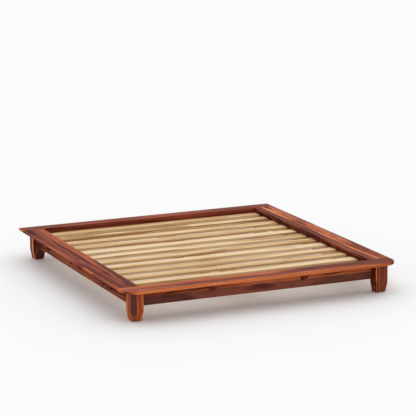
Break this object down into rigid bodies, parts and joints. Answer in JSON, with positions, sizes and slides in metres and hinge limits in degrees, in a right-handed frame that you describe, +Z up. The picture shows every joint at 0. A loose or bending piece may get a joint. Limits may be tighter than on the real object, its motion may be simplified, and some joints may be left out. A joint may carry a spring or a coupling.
{
  "type": "platform bed frame",
  "caption": "Low wooden platform bed frame: a wide ledge round a sunken slatted deck for a mattress, on tapered block legs, with scrolled corbels under the ledge.",
  "frame": {"origin": "on the floor under the centre of the bed's outline", "axes": "+X to the right seen from the foot end, +Y from the foot end to the head end, +Z up"},
  "size_m": [2.19, 2.29, 0.235],
  "materials": {
    "ledge_wood": "satin lacquered reddish-brown hardwood with orange sapwood streaks",
    "leg_wood": "satin lacquered reddish-brown hardwood with orange sapwood streaks",
    "rail_wood": "satin lacquered reddish-brown hardwood, darker lower half",
    "corbel_wood": "satin lacquered dark reddish-brown hardwood",
    "support_wood": "planed bare softwood",
    "slat_wood": "planed bare softwood",
    "zinc_steel": "zinc-plated steel",
    "felt": "dense grey felt"
  },
  "bodies": {
    "root": {"leg_front_left": "leg_wood", "leg_front_right": "leg_wood", "leg_back_left": "leg_wood", "leg_back_right": "leg_wood", "rail_foot": "rail_wood", "rail_head": "rail_wood", "rail_left": "rail_wood", "rail_right": "rail_wood", "ledge_foot": "ledge_wood", "ledge_head": "ledge_wood", "ledge_left": "ledge_wood", "ledge_right": "ledge_wood", "corbel_foot_1": "corbel_wood", "corbel_foot_2": "corbel_wood", "corbel_left_1": "corbel_wood", "corbel_left_2": "corbel_wood", "corbel_left_3": "corbel_wood", "corbel_right_1": "corbel_wood", "corbel_right_2": "corbel_wood", "corbel_right_3": "corbel_wood", "block_front_left": "support_wood", "block_front_right": "support_wood", "block_back_left": "support_wood", "block_back_right": "support_wood", "cleat_left": "support_wood", "cleat_right": "support_wood", "centre_beam": "support_wood", "beam_hanger_foot": "zinc_steel", "beam_hanger_head": "zinc_steel", "centre_leg_1": "support_wood", "centre_leg_2": "support_wood", "centre_leg_3": "support_wood", "angle_bracket_left": "zinc_steel", "angle_bracket_right": "zinc_steel", "slat_01": "slat_wood", "slat_02": "slat_wood", "slat_03": "slat_wood", "slat_04": "slat_wood", "slat_05": "slat_wood", "slat_06": "slat_wood", "slat_07": "slat_wood", "slat_08": "slat_wood", "slat_09": "slat_wood", "slat_10": "slat_wood", "slat_11": "slat_wood", "slat_12": "slat_wood", "leg_bolts": "zinc_steel", "leg_bolt_washers": "zinc_steel", "leg_inserts": "zinc_steel", "centre_leg_bolts": "zinc_steel", "centre_leg_nuts": "zinc_steel", "block_and_cleat_screws": "zinc_steel", "corbel_screws": "zinc_steel", "ledge_screws": "zinc_steel", "slat_screws": "zinc_steel", "plate_screws": "zinc_steel", "dowels": "support_wood", "floor_glides": "felt"}
  },
  "joints": []
}
